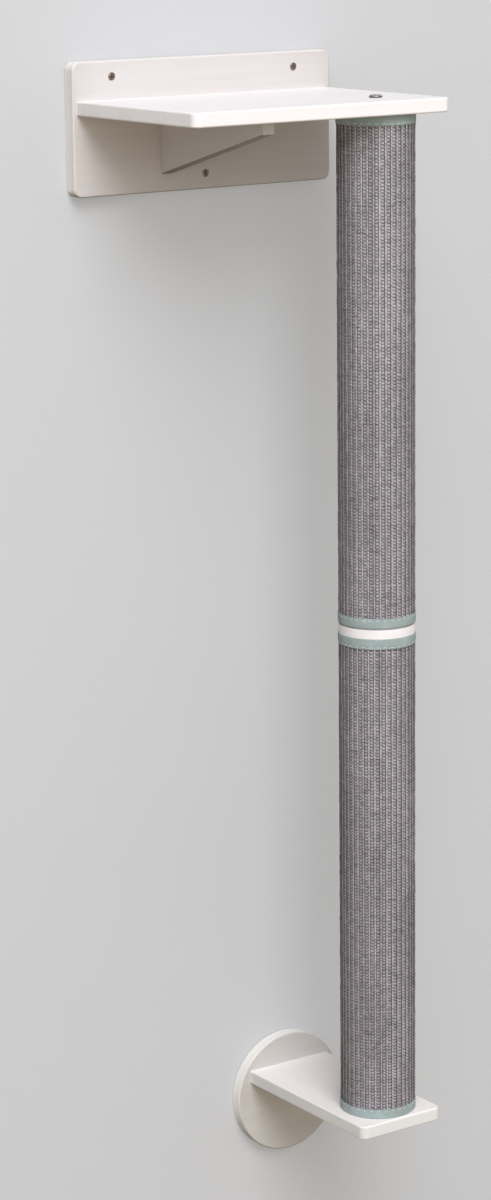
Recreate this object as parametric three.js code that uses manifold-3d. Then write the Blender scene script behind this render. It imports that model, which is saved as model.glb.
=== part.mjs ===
// Wall mounted cat tree: a shelf on a wall plate, a tall woven scratching post in two
// sections, and an arm on a round wall disc that carries the foot of the post.
// Millimetres. The wall is the plane y = 0, the front faces -Y, +X is to the right, +Z is up.
// The origin is the centre of the wall plate's back face.
import * as THREE from 'three';
import { mergeVertices } from 'three/addons/utils/BufferGeometryUtils.js';
import Module from 'manifold-3d';

const wasm = await Module();
wasm.setup();

// ---- driving sizes ----------------------------------------------------------------------
// one clearance for every piece that lies in, on or around another one
const FIT_GAP = 0.3;
// the small rounding of every painted edge
const EDGE_ROUND = 2;

// wall plate
const PLATE_WIDTH = 328;
const PLATE_HEIGHT = 140;
const PLATE_THICKNESS = 15;
const PLATE_CORNER = 9;

// shelf, fixed to the front of the wall plate
const SHELF_WIDTH = 320;
const SHELF_DEPTH = 219;
const SHELF_THICKNESS = 15;
const SHELF_CORNER = 9;
const SHELF_TOP_BELOW_PLATE_TOP = 40;

// bracket under the shelf, seen from the side as a wedge
const BRACKET_THICKNESS = 15;
const BRACKET_LENGTH = 187;
const BRACKET_BACK_HEIGHT = 66;
const BRACKET_FRONT_HEIGHT = 14;
const BRACKET_X = -49;

// scratching post: two alike sections with a ring between them
const POST_X = 100;
const POST_FROM_WALL = 183;
const SECTION_LENGTH = 541;
const TUBE_DIAMETER = 78;
const TUBE_WALL = 4;
const SLEEVE_THICKNESS = 1.7;
const BINDING_THICKNESS = 0.6;
const BINDING_WIDTH = 11;
const PLUG_THICKNESS = 18;
const RING_DIAMETER = 82.5;
const RING_HEIGHT = 11.5;

// arm under the post, on its wall disc
const ARM_WIDTH = 108;
const ARM_LENGTH = 215;
const ARM_THICKNESS = 15;
const ARM_CORNER = 8;
const DISC_DIAMETER = 140;
const DISC_THICKNESS = 13;
const DISC_CENTRE_BELOW_ARM_TOP = 36;

// machine bolts, stud and tee nuts that clamp the post
const BOLT_DIAMETER = 8;
const BOLT_LENGTH = 35;
const BOLT_HEAD_DIAMETER = 14;
const BOLT_HEAD_HEIGHT = 3;
const BOLT_HEAD_RIM = 1;
const BOLT_HEAD_CROWN = 7;
const BOLT_CHAMFER = 1;
const BOLT_SOCKET_FLATS = 5;
const BOLT_SOCKET_DEPTH = 1.8;
const STUD_LENGTH = 50;
const NUT_BARREL_DIAMETER = 10.5;
const NUT_BARREL_LENGTH = 12;
const NUT_FLANGE_DIAMETER = 20;
const NUT_FLANGE_THICKNESS = 1.5;

// countersunk wood screws
const SCREW_HEAD_DIAMETER = 8;
const SCREW_HEAD_RIM = 0.5;
const SCREW_TIP_LENGTH = 4;
const SCREW_TIP_DIAMETER = 0.7;
const SCREW_RECESS_SPAN = 4.4;
const SCREW_RECESS_WIDTH = 1;
const SCREW_RECESS_DEPTH = 1.4;
const WALL_SCREW_DIAMETER = 4.5;
const WALL_SCREW_LENGTH = 50;
const JOINT_SCREW_DIAMETER = 4;
const JOINT_SCREW_LENGTH = 45;
const PILOT_EXTRA_DEPTH = 1;

// screw places: from the edges of the piece that each screw passes through
const WALL_SCREW_FROM_SIDE = 48;
const WALL_SCREW_FROM_EDGE = 16.5;
const SHELF_SCREW_FROM_SIDE = 50;
const BRACKET_SCREW_BELOW_SHELF = 38;
const ARM_SCREW_FROM_SIDE = 24;
const DISC_SCREW_SPACING = 28;

// wooden dowels between the bracket and the shelf
const DOWEL_DIAMETER = 6;
const DOWEL_LENGTH = 24;
const DOWEL_IN_SHELF = 9;
const DOWEL_FROM_WALL_PLATE = 45;
const DOWEL_SPACING = 70;

// number of flats used for round pieces
const POST_SIDES = 64;
const DISC_SIDES = 96;
const SMALL_SIDES = 24;
const CORNER_STEPS = 8;
const EDGE_STEPS = 3;
const DOME_STEPS = 4;

// ---- places worked out from the sizes -----------------------------------------------------
const plateTop = PLATE_HEIGHT / 2;
const plateFront = -PLATE_THICKNESS;
const shelfTop = plateTop - SHELF_TOP_BELOW_PLATE_TOP;
const shelfBottom = shelfTop - SHELF_THICKNESS;
const shelfFront = plateFront - SHELF_DEPTH;
const postY = -POST_FROM_WALL;
const upperTop = shelfBottom;
const ringTop = upperTop - SECTION_LENGTH;
const lowerTop = ringTop - RING_HEIGHT;
const armTop = lowerTop - SECTION_LENGTH;
const armBottom = armTop - ARM_THICKNESS;
const discFront = -DISC_THICKNESS;
const armFront = discFront - ARM_LENGTH;
const discZ = armTop - DISC_CENTRE_BELOW_ARM_TOP;
const tubeRadius = TUBE_DIAMETER / 2;
const tubeBore = tubeRadius - TUBE_WALL;
const sleeveBore = tubeRadius + FIT_GAP;
const sleeveRadius = sleeveBore + SLEEVE_THICKNESS;
const boltHole = BOLT_DIAMETER / 2 + FIT_GAP;

// ---- materials ----------------------------------------------------------------------------
function finish(color, roughness, metalness = 0) {
  return new THREE.MeshStandardMaterial({ color, roughness, metalness });
}
const whitePaint = () => finish(0xf3eeec, 0.45);
const whiteRing = () => finish(0xf8f3f5, 0.4);
const wovenGrey = () => finish(0x9a9598, 0.9);
const tealTape = () => finish(0xa6b4b3, 0.85);
const bronzeSteel = () => finish(0x7a6a60, 0.4, 0.8);
const zincSteel = () => finish(0xb9bcc0, 0.35, 0.9);
const cardboard = () => finish(0xb18f68, 0.9);
const bareWood = () => finish(0xcdb085, 0.75);

// ---- solids: cuts and basic shapes ----------------------------------------------------------
// A closed geometry as a solid: vertices merged and flattened triangles left out.
function toSolid(geometry) {
  const bare = geometry.clone();
  for (const name of ['normal', 'uv']) {
    bare.deleteAttribute(name);
  }
  const merged = mergeVertices(bare, 1e-4);
  const index = merged.index.array;
  const triangles = [];
  for (let i = 0; i < index.length; i += 3) {
    const [a, b, c] = [index[i], index[i + 1], index[i + 2]];
    if (a !== b && b !== c && c !== a) {
      triangles.push(a, b, c);
    }
  }
  const mesh = new wasm.Mesh({
    numProp: 3,
    vertProperties: new Float32Array(merged.attributes.position.array),
    triVerts: new Uint32Array(triangles),
  });
  return new wasm.Manifold(mesh);
}

function toGeometry(solid) {
  const { vertProperties, triVerts } = solid.getMesh();
  const geometry = new THREE.BufferGeometry();
  geometry.setAttribute('position', new THREE.BufferAttribute(vertProperties, 3));
  geometry.setIndex(new THREE.BufferAttribute(triVerts, 1));
  geometry.computeVertexNormals();
  return geometry;
}

// The geometry with each of the cutters taken away from it.
function cut(geometry, cutters) {
  let solid = toSolid(geometry);
  for (const cutter of cutters) {
    solid = solid.subtract(toSolid(cutter));
  }
  return toGeometry(solid);
}

// A body of revolution about Z. The profile is a list of [radius, z] points, walked so that
// the outside goes up; it starts and ends on the axis, or is closed by its first point.
function turned(profile, sides) {
  const points = profile.map(([r, z]) => new THREE.Vector2(r, z));
  const onAxis = profile[0][0] === 0;
  if (!onAxis) {
    points.push(points[0].clone());
  }
  return new THREE.LatheGeometry(points, sides).rotateX(Math.PI / 2);
}

function tubeRing(outer, bore, height, sides) {
  return turned([[bore, 0], [outer, 0], [outer, height], [bore, height]], sides);
}

// A round bar that stands upright, given by the middle of its length.
function bar(radius, length, x, y, z) {
  const geometry = new THREE.CylinderGeometry(radius, radius, length, SMALL_SIDES);
  return geometry.rotateX(Math.PI / 2).translate(x, y, z);
}

function block(sizeX, sizeY, sizeZ, x, y, z) {
  return new THREE.BoxGeometry(sizeX, sizeY, sizeZ).translate(x, y, z);
}

// A rectangle outline from (x0, y0) to (x1, y1) whose corners are rounded by the given
// radii, in the order low left, low right, high right, high left.
function roundedOutline(x0, y0, x1, y1, [a, b, c, d]) {
  const outline = new THREE.Shape();
  outline.moveTo(x0 + a, y0);
  outline.lineTo(x1 - b, y0);
  if (b > 0) {
    outline.absarc(x1 - b, y0 + b, b, -Math.PI / 2, 0);
  }
  outline.lineTo(x1, y1 - c);
  if (c > 0) {
    outline.absarc(x1 - c, y1 - c, c, 0, Math.PI / 2);
  }
  outline.lineTo(x0 + d, y1);
  if (d > 0) {
    outline.absarc(x0 + d, y1 - d, d, Math.PI / 2, Math.PI);
  }
  outline.lineTo(x0, y0 + a);
  if (a > 0) {
    outline.absarc(x0 + a, y0 + a, a, Math.PI, Math.PI * 1.5);
  }
  return outline;
}

// A board cut to the outline, from 0 to its thickness along Z, with all edges rounded.
function softBoard(outline, thickness, curveSegments = CORNER_STEPS) {
  const geometry = new THREE.ExtrudeGeometry(outline, {
    depth: thickness - 2 * EDGE_ROUND,
    curveSegments,
    bevelEnabled: true,
    bevelThickness: EDGE_ROUND,
    bevelSize: EDGE_ROUND,
    bevelOffset: -EDGE_ROUND,
    bevelSegments: EDGE_STEPS,
  });
  return geometry.translate(0, 0, EDGE_ROUND);
}

// ---- fasteners ------------------------------------------------------------------------------
// A countersunk screw, head at z = 0 and tip down. With a gap it is the hole that it needs,
// which reaches past the board's face by one gap.
function screwBody(diameter, length, gap = 0) {
  const radius = diameter / 2 + gap;
  const head = SCREW_HEAD_DIAMETER / 2 + gap;
  const neck = -SCREW_HEAD_RIM - gap - (head - radius);
  const top = 2 * gap;
  const end = gap > 0 ? -length - PILOT_EXTRA_DEPTH : -length;
  const tipRadius = gap > 0 ? radius : SCREW_TIP_DIAMETER / 2;
  return turned([
    [0, end],
    [tipRadius, end],
    [radius, end + SCREW_TIP_LENGTH],
    [radius, neck],
    [head, -SCREW_HEAD_RIM - gap],
    [head, top],
    [0, top],
  ], SMALL_SIDES);
}

function screw(diameter, length) {
  const recess = [
    block(SCREW_RECESS_SPAN, SCREW_RECESS_WIDTH, 2 * SCREW_RECESS_DEPTH, 0, 0, 0),
    block(SCREW_RECESS_WIDTH, SCREW_RECESS_SPAN, 2 * SCREW_RECESS_DEPTH, 0, 0, 0),
  ];
  return cut(screwBody(diameter, length), recess);
}

// Screws that go in from the front point to +Y, and those from the back point to -Y. Their
// heads lie one gap under the face that they enter.
const fromFront = { turn: Math.PI / 2, sink: FIT_GAP };
const fromBack = { turn: -Math.PI / 2, sink: -FIT_GAP };

function screwHole(diameter, length, side, x, faceY, z) {
  const hole = screwBody(diameter, length, FIT_GAP).rotateX(side.turn);
  return hole.translate(x, faceY + side.sink, z);
}

function placeScrew(name, diameter, length, side, x, faceY, z) {
  const metal = side === fromFront ? bronzeSteel() : zincSteel();
  const piece = part(name, screw(diameter, length), metal);
  piece.rotation.x = side.turn;
  piece.position.set(x, faceY + side.sink, z);
  return piece;
}

// A bolt with a low domed head: the head stands on z = 0 and the shank points down. The dome
// falls by a quarter ellipse from its flat crown to the top of the rim.
function bolt() {
  const shank = BOLT_DIAMETER / 2;
  const head = BOLT_HEAD_DIAMETER / 2;
  const crown = BOLT_HEAD_CROWN / 2;
  const rise = BOLT_HEAD_HEIGHT - BOLT_HEAD_RIM;
  const profile = [
    [0, -BOLT_LENGTH],
    [shank - BOLT_CHAMFER, -BOLT_LENGTH],
    [shank, -BOLT_LENGTH + BOLT_CHAMFER],
    [shank, 0],
    [head, 0],
    [head, BOLT_HEAD_RIM],
  ];
  for (let i = 1; i <= DOME_STEPS; i++) {
    const angle = (i / DOME_STEPS) * (Math.PI / 2);
    const radius = crown + (head - crown) * Math.cos(angle);
    profile.push([radius, BOLT_HEAD_RIM + rise * Math.sin(angle)]);
  }
  profile.push([0, BOLT_HEAD_HEIGHT]);
  const socketRadius = BOLT_SOCKET_FLATS / 2 / Math.cos(Math.PI / 6);
  const socket = new THREE.CylinderGeometry(socketRadius, socketRadius, 2 * BOLT_SOCKET_DEPTH, 6);
  socket.rotateX(Math.PI / 2).translate(0, 0, BOLT_HEAD_HEIGHT);
  return cut(turned(profile, SMALL_SIDES), [socket]);
}

function stud() {
  const radius = BOLT_DIAMETER / 2;
  return turned([
    [0, 0],
    [radius - BOLT_CHAMFER, 0],
    [radius, BOLT_CHAMFER],
    [radius, STUD_LENGTH - BOLT_CHAMFER],
    [radius - BOLT_CHAMFER, STUD_LENGTH],
    [0, STUD_LENGTH],
  ], SMALL_SIDES);
}

// A tee nut: its flange lies below z = 0 and its barrel stands above it.
function teeNut() {
  const barrel = NUT_BARREL_DIAMETER / 2;
  return turned([
    [boltHole, -NUT_FLANGE_THICKNESS],
    [NUT_FLANGE_DIAMETER / 2, -NUT_FLANGE_THICKNESS],
    [NUT_FLANGE_DIAMETER / 2, 0],
    [barrel, 0],
    [barrel, NUT_BARREL_LENGTH],
    [boltHole, NUT_BARREL_LENGTH],
  ], SMALL_SIDES);
}

// ---- post pieces ------------------------------------------------------------------------------
// A tape ring that wraps the end of a sleeve: its lip is at z = 0 and its wall hangs down.
function binding() {
  const inside = sleeveRadius + FIT_GAP;
  const outside = inside + BINDING_THICKNESS;
  return turned([
    [inside, -BINDING_WIDTH],
    [outside, -BINDING_WIDTH],
    [outside, 0],
    [sleeveBore, 0],
    [sleeveBore, -BINDING_THICKNESS],
    [inside, -BINDING_THICKNESS],
  ], POST_SIDES);
}

// The plug in a tube end, with a hole for the barrel of its tee nut.
function plug() {
  const bore = NUT_BARREL_DIAMETER / 2 + FIT_GAP;
  return tubeRing(tubeBore - FIT_GAP, bore, PLUG_THICKNESS, POST_SIDES);
}

// One section of the post, hanging down from the height of its top end.
function postSection(name, top) {
  const section = new THREE.Group();
  const bottom = top - SECTION_LENGTH;
  const sleeveInset = BINDING_THICKNESS + FIT_GAP;
  const sleeveLength = SECTION_LENGTH - 2 * sleeveInset;

  const tubeShape = tubeRing(tubeRadius, tubeBore, SECTION_LENGTH, POST_SIDES);
  const tube = part(`${name}_tube`, tubeShape, cardboard());
  tube.position.z = bottom;
  const sleeveShape = tubeRing(sleeveRadius, sleeveBore, sleeveLength, POST_SIDES);
  const sleeve = part(`${name}_woven_sleeve`, sleeveShape, wovenGrey());
  sleeve.position.z = bottom + sleeveInset;
  section.add(tube, sleeve);

  // Both ends have the same pieces: those of the bottom end are turned over.
  for (const [end, z, turn] of [['top', top, 0], ['bottom', bottom, Math.PI]]) {
    const fittings = new THREE.Group();
    const tape = part(`${name}_${end}_binding`, binding(), tealTape());
    const wood = part(`${name}_${end}_plug`, plug(), bareWood());
    wood.position.z = -PLUG_THICKNESS;
    const nut = part(`${name}_${end}_tee_nut`, teeNut(), zincSteel());
    nut.position.z = -PLUG_THICKNESS;
    fittings.add(tape, wood, nut);
    fittings.rotation.x = turn;
    fittings.position.z = z;
    section.add(fittings);
  }
  section.position.set(POST_X, postY, 0);
  return section;
}

function postRing() {
  return tubeRing(RING_DIAMETER / 2, boltHole, RING_HEIGHT, POST_SIDES);
}

// ---- boards -------------------------------------------------------------------------------------
// The places [x, z] of the screws in the wall plate and the disc.
const wallScrewX = PLATE_WIDTH / 2 - WALL_SCREW_FROM_SIDE;
const wallScrewZ = plateTop - WALL_SCREW_FROM_EDGE;
const plateWallScrews = [
  ['left', -wallScrewX, wallScrewZ],
  ['right', wallScrewX, wallScrewZ],
  ['low', 0, -wallScrewZ],
];
const shelfScrewX = SHELF_WIDTH / 2 - SHELF_SCREW_FROM_SIDE;
const shelfMidZ = shelfBottom + SHELF_THICKNESS / 2;
const shelfScrews = [
  ['left', -shelfScrewX, shelfMidZ],
  ['middle', 0, shelfMidZ],
  ['right', shelfScrewX, shelfMidZ],
];
const bracketScrews = [['back', BRACKET_X, shelfBottom - BRACKET_SCREW_BELOW_SHELF]];
const armScrewX = ARM_WIDTH / 2 - ARM_SCREW_FROM_SIDE;
const armMidZ = armBottom + ARM_THICKNESS / 2;
const armScrews = [
  ['left', POST_X - armScrewX, armMidZ],
  ['right', POST_X + armScrewX, armMidZ],
];
const discWallScrews = [
  ['left', POST_X - DISC_SCREW_SPACING / 2, discZ],
  ['right', POST_X + DISC_SCREW_SPACING / 2, discZ],
];
const dowelY = [0, 1].map((i) => plateFront - DOWEL_FROM_WALL_PLATE - i * DOWEL_SPACING);
const dowelBottom = shelfBottom + DOWEL_IN_SHELF - DOWEL_LENGTH;

function wallScrewHoles(places, faceY) {
  return places.map(([, x, z]) =>
    screwHole(WALL_SCREW_DIAMETER, WALL_SCREW_LENGTH, fromFront, x, faceY, z));
}

function jointScrewHoles(places) {
  return places.map(([, x, z]) =>
    screwHole(JOINT_SCREW_DIAMETER, JOINT_SCREW_LENGTH, fromBack, x, 0, z));
}

function dowelHoles() {
  const length = DOWEL_LENGTH + 2 * FIT_GAP;
  const middle = dowelBottom + DOWEL_LENGTH / 2;
  const radius = DOWEL_DIAMETER / 2 + FIT_GAP;
  return dowelY.map((y) => bar(radius, length, BRACKET_X, y, middle));
}

// A board that lies against the wall: its edge is rounded at the front and square at the
// back, where it is cut off by a block of the given width around (x, z).
function wallBoard(outline, thickness, curveSegments, x, z, width) {
  const board = softBoard(outline, thickness + EDGE_ROUND, curveSegments);
  board.rotateX(Math.PI / 2).translate(0, EDGE_ROUND, 0);
  return cut(board, [block(width, 2 * EDGE_ROUND, width, x, EDGE_ROUND, z)]);
}

function wallPlate() {
  const r = PLATE_CORNER;
  const half = PLATE_WIDTH / 2;
  const outline = roundedOutline(-half, -plateTop, half, plateTop, [r, r, r, r]);
  const board = wallBoard(outline, PLATE_THICKNESS, CORNER_STEPS, 0, 0, PLATE_WIDTH + PLATE_HEIGHT);
  return cut(board, [
    ...wallScrewHoles(plateWallScrews, plateFront),
    ...jointScrewHoles(shelfScrews),
    ...jointScrewHoles(bracketScrews),
  ]);
}

function shelf() {
  const r = SHELF_CORNER;
  const half = SHELF_WIDTH / 2;
  const back = plateFront + EDGE_ROUND;
  const outline = roundedOutline(-half, shelfFront, half, back, [r, r, 0, 0]);
  const board = softBoard(outline, SHELF_THICKNESS).translate(0, 0, shelfBottom);
  const trim = 2 * EDGE_ROUND;
  return cut(board, [
    block(2 * SHELF_WIDTH, trim, 2 * SHELF_THICKNESS, 0, plateFront + trim / 2, shelfMidZ),
    bar(boltHole, 2 * SHELF_THICKNESS, POST_X, postY, shelfMidZ),
    ...jointScrewHoles(shelfScrews),
    ...dowelHoles(),
  ]);
}

function bracket() {
  const back = plateFront + EDGE_ROUND;
  const front = plateFront - BRACKET_LENGTH;
  const top = shelfBottom + EDGE_ROUND;
  const slope = (BRACKET_BACK_HEIGHT - BRACKET_FRONT_HEIGHT) / BRACKET_LENGTH;
  const side = new THREE.Shape();
  side.moveTo(back, top);
  side.lineTo(front, top);
  side.lineTo(front, shelfBottom - BRACKET_FRONT_HEIGHT);
  side.lineTo(back, shelfBottom - BRACKET_BACK_HEIGHT - slope * EDGE_ROUND);
  const board = softBoard(side, BRACKET_THICKNESS).rotateX(Math.PI / 2).rotateZ(Math.PI / 2);
  board.translate(BRACKET_X - BRACKET_THICKNESS / 2, 0, 0);
  const far = 2 * BRACKET_LENGTH;
  const trim = 2 * EDGE_ROUND;
  return cut(board, [
    block(2 * BRACKET_THICKNESS, far, trim, BRACKET_X, plateFront, shelfBottom + trim / 2),
    block(2 * BRACKET_THICKNESS, trim, far, BRACKET_X, plateFront + trim / 2, shelfBottom),
    ...jointScrewHoles(bracketScrews),
    ...dowelHoles(),
  ]);
}

function wallDisc() {
  const outline = new THREE.Shape();
  outline.absarc(POST_X, discZ, DISC_DIAMETER / 2, 0, 2 * Math.PI);
  const board = wallBoard(outline, DISC_THICKNESS, DISC_SIDES / 2, POST_X, discZ, 2 * DISC_DIAMETER);
  return cut(board, [
    ...wallScrewHoles(discWallScrews, discFront),
    ...jointScrewHoles(armScrews),
  ]);
}

function arm() {
  const r = ARM_CORNER;
  const half = ARM_WIDTH / 2;
  const back = discFront + EDGE_ROUND;
  const outline = roundedOutline(POST_X - half, armFront, POST_X + half, back, [r, r, 0, 0]);
  const board = softBoard(outline, ARM_THICKNESS).translate(0, 0, armBottom);
  const trim = 2 * EDGE_ROUND;
  return cut(board, [
    block(2 * ARM_WIDTH, trim, 2 * ARM_THICKNESS, POST_X, discFront + trim / 2, armMidZ),
    bar(boltHole, 2 * ARM_THICKNESS, POST_X, postY, armMidZ),
    ...jointScrewHoles(armScrews),
  ]);
}

// ---- assembly -------------------------------------------------------------------------------------
function part(name, geometry, material) {
  const mesh = new THREE.Mesh(geometry, material);
  mesh.name = name;
  return mesh;
}

function addScrews(group, label, diameter, length, side, faceY, places) {
  for (const [place, x, z] of places) {
    group.add(placeScrew(`${label}_screw_${place}`, diameter, length, side, x, faceY, z));
  }
}

function shelfUnit() {
  const group = new THREE.Group();
  group.add(part('wall_plate', wallPlate(), whitePaint()));
  group.add(part('shelf', shelf(), whitePaint()));
  group.add(part('shelf_bracket', bracket(), whitePaint()));
  addScrews(group, 'plate_wall', WALL_SCREW_DIAMETER, WALL_SCREW_LENGTH, fromFront, plateFront,
    plateWallScrews);
  addScrews(group, 'shelf', JOINT_SCREW_DIAMETER, JOINT_SCREW_LENGTH, fromBack, 0, shelfScrews);
  addScrews(group, 'bracket', JOINT_SCREW_DIAMETER, JOINT_SCREW_LENGTH, fromBack, 0, bracketScrews);
  for (const [i, y] of dowelY.entries()) {
    const dowel = bar(DOWEL_DIAMETER / 2, DOWEL_LENGTH, 0, 0, DOWEL_LENGTH / 2);
    const piece = part(`bracket_dowel_${['back', 'front'][i]}`, dowel, bareWood());
    piece.position.set(BRACKET_X, y, dowelBottom);
    group.add(piece);
  }
  return group;
}

function post() {
  const group = new THREE.Group();
  group.add(postSection('upper', upperTop));
  group.add(postSection('lower', lowerTop));
  const ring = part('post_ring', postRing(), whiteRing());
  ring.position.set(POST_X, postY, lowerTop);
  const rod = part('post_stud', stud(), zincSteel());
  rod.position.set(POST_X, postY, lowerTop + (RING_HEIGHT - STUD_LENGTH) / 2);
  const topBolt = part('post_top_bolt', bolt(), bronzeSteel());
  topBolt.position.set(POST_X, postY, shelfTop);
  const bottomBolt = part('post_bottom_bolt', bolt(), bronzeSteel());
  bottomBolt.rotation.x = Math.PI;
  bottomBolt.position.set(POST_X, postY, armBottom);
  group.add(ring, rod, topBolt, bottomBolt);
  return group;
}

function armUnit() {
  const group = new THREE.Group();
  group.add(part('wall_disc', wallDisc(), whitePaint()));
  group.add(part('arm', arm(), whitePaint()));
  addScrews(group, 'disc_wall', WALL_SCREW_DIAMETER, WALL_SCREW_LENGTH, fromFront, discFront,
    discWallScrews);
  addScrews(group, 'arm', JOINT_SCREW_DIAMETER, JOINT_SCREW_LENGTH, fromBack, 0, armScrews);
  return group;
}

const group = new THREE.Group();
group.add(shelfUnit(), post(), armUnit());

export default group;
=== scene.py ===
import math

import bmesh
import bpy
import numpy as np
from mathutils import Matrix, Vector
from mathutils.geometry import tessellate_polygon


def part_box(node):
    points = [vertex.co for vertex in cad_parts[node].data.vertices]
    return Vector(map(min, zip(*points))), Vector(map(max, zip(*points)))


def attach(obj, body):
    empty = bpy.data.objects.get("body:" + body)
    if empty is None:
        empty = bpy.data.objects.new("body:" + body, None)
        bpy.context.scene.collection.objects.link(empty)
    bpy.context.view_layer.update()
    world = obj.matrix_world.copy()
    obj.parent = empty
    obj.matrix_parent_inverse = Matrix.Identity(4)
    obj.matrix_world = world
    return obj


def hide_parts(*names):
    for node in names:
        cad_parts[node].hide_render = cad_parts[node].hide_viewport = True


# A wall mounted cat tree: a painted shelf on a wall plate, a tall woven scratching post in
# two sections, and a painted arm on a round wall disc. Metres, the wall is y = 0, +Z is up.
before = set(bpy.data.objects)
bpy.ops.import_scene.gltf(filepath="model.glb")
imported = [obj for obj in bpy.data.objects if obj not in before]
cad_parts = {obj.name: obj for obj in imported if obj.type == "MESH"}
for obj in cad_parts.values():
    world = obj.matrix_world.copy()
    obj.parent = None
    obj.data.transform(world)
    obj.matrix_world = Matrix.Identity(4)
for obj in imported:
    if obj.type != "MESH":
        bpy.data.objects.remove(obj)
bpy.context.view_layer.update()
mm = 0.001

cameraPlace = {
    "lens": 98.06,
    "azimuth": -34.672,
    "pitch": 12.743,
    "roll": -0.653,
    "place": (-1.958525, -2.911806, 0.270545),
}


def makeCamera(look):
    # forward comes from azimuth and pitch, then right and up are turned by the roll
    azimuth, pitch, roll = (math.radians(look[key]) for key in ("azimuth", "pitch", "roll"))
    forward = Vector((
        -math.sin(azimuth) * math.cos(pitch),
        math.cos(azimuth) * math.cos(pitch),
        -math.sin(pitch),
    ))
    level = forward.cross(Vector((0, 0, 1))).normalized()
    upright = level.cross(forward)
    right = level * math.cos(roll) + upright * math.sin(roll)
    up = upright * math.cos(roll) - level * math.sin(roll)
    data = bpy.data.cameras.new("photoCamera")
    data.lens = look["lens"]
    data.clip_end = 60
    camera = bpy.data.objects.new("photoCamera", data)
    turn = Matrix((right, up, -forward)).transposed().to_4x4()
    camera.matrix_world = Matrix.Translation(look["place"]) @ turn
    bpy.context.scene.collection.objects.link(camera)
    bpy.context.scene.camera = camera


makeCamera(cameraPlace)
print("camera made")


# small helpers for material nodes: a socket is linked, anything else is a fixed value
def plug(tree, socket, value):
    if isinstance(value, bpy.types.NodeSocket):
        tree.links.new(value, socket)
    else:
        socket.default_value = value


def addNode(tree, kind, sockets=None, **settings):
    node = tree.nodes.new("ShaderNode" + kind)
    for key, value in settings.items():
        setattr(node, key, value)
    for key, value in (sockets or {}).items():
        plug(tree, node.inputs[key], value)
    return node


def calc(tree, operation, *values):
    node = addNode(tree, "Math", dict(enumerate(values)), operation=operation)
    return node.outputs[0]


def ease(tree, value, low, high, outLow=0.0, outHigh=1.0):
    # goes smoothly from outLow to outHigh as the value goes from low to high
    sockets = {"Value": value, 1: low, 2: high, 3: outLow, 4: outHigh}
    return addNode(tree, "MapRange", sockets, interpolation_type="SMOOTHSTEP").outputs[0]


def blendColour(tree, factor, first, second, way="MIX"):
    sockets = {0: factor, 6: first, 7: second}
    return addNode(tree, "Mix", sockets, data_type="RGBA", blend_type=way).outputs[2]


def noiseAt(tree, place, scale, detail=3.0, rough=0.55):
    sockets = {"Vector": place, "Scale": scale, "Detail": detail, "Roughness": rough}
    return addNode(tree, "TexNoise", sockets).outputs[0]


def objectPlaceOf(tree):
    return addNode(tree, "TexCoord").outputs["Object"]


def stretch(tree, place, scale, turn=(0, 0, 0), shift=(0, 0, 0)):
    sockets = {"Vector": place, "Scale": scale, "Rotation": turn, "Location": shift}
    return addNode(tree, "Mapping", sockets).outputs[0]


def ripple(tree, turns):
    # 1 at each whole turn, 0 half way between, as a cosine goes
    swing = calc(tree, "COSINE", calc(tree, "MULTIPLY", turns, 2 * math.pi))
    return calc(tree, "MULTIPLY_ADD", swing, 0.5, 0.5)


def bumpFrom(tree, height, depth, strength=1.0, under=None):
    sockets = {"Height": height, "Distance": depth, "Strength": strength}
    if under:
        sockets["Normal"] = under
    return addNode(tree, "Bump", sockets).outputs[0]


def newMaterial(name, **fixed):
    material = bpy.data.materials.new(name)
    material.use_nodes = True
    tree = material.node_tree
    tree.nodes.clear()
    shader = addNode(tree, "BsdfPrincipled", {k.replace("_", " "): v for k, v in fixed.items()})
    addNode(tree, "OutputMaterial", {"Surface": shader.outputs[0]})
    return material, tree, shader


def finishShader(tree, shader, **sockets):
    for key, value in sockets.items():
        plug(tree, shader.inputs[key.replace("_", " ")], value)


# light, wall and floor
studio = {
    "key": {"place": (-2.39, -5.01, 5.55), "size": 5.0, "power": 455, "colour": (0.99, 0.99, 1.02)},
    "fill": {"place": (-1.23, -3.48, 1.45), "size": 2.5, "power": 30, "colour": (1, 0.99, 0.985)},
    "aim": (0.0, -0.1, -0.3),
    "airColour": (0.60, 0.592, 0.585, 1),
    "backColour": (0.62, 0.62, 0.63, 1),
    "wallColour": (0.620, 0.630, 0.652, 1),
    "wallBounce": (0.20, 0.20, 0.19, 1),
    "wallGlow": (0.64, 0.647, 0.661, 1),
    "glowShare": 0.35,
    "floorColour": (0.76, 0.755, 0.75, 1),
    "floorBounce": (0.36, 0.295, 0.18, 1),
    "wallY": 1.5 * mm,
    "floorZ": -1.35,
    "reach": 9.0,
    "nearRay": 20 * mm,  # shorter rays pass through the wall
    "mottleScale": 3.0,
    "mottle": (0.985, 1.015),
    "pimpleScale": 420.0,
    "pimpleDepth": 0.2 * mm,
}


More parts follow.
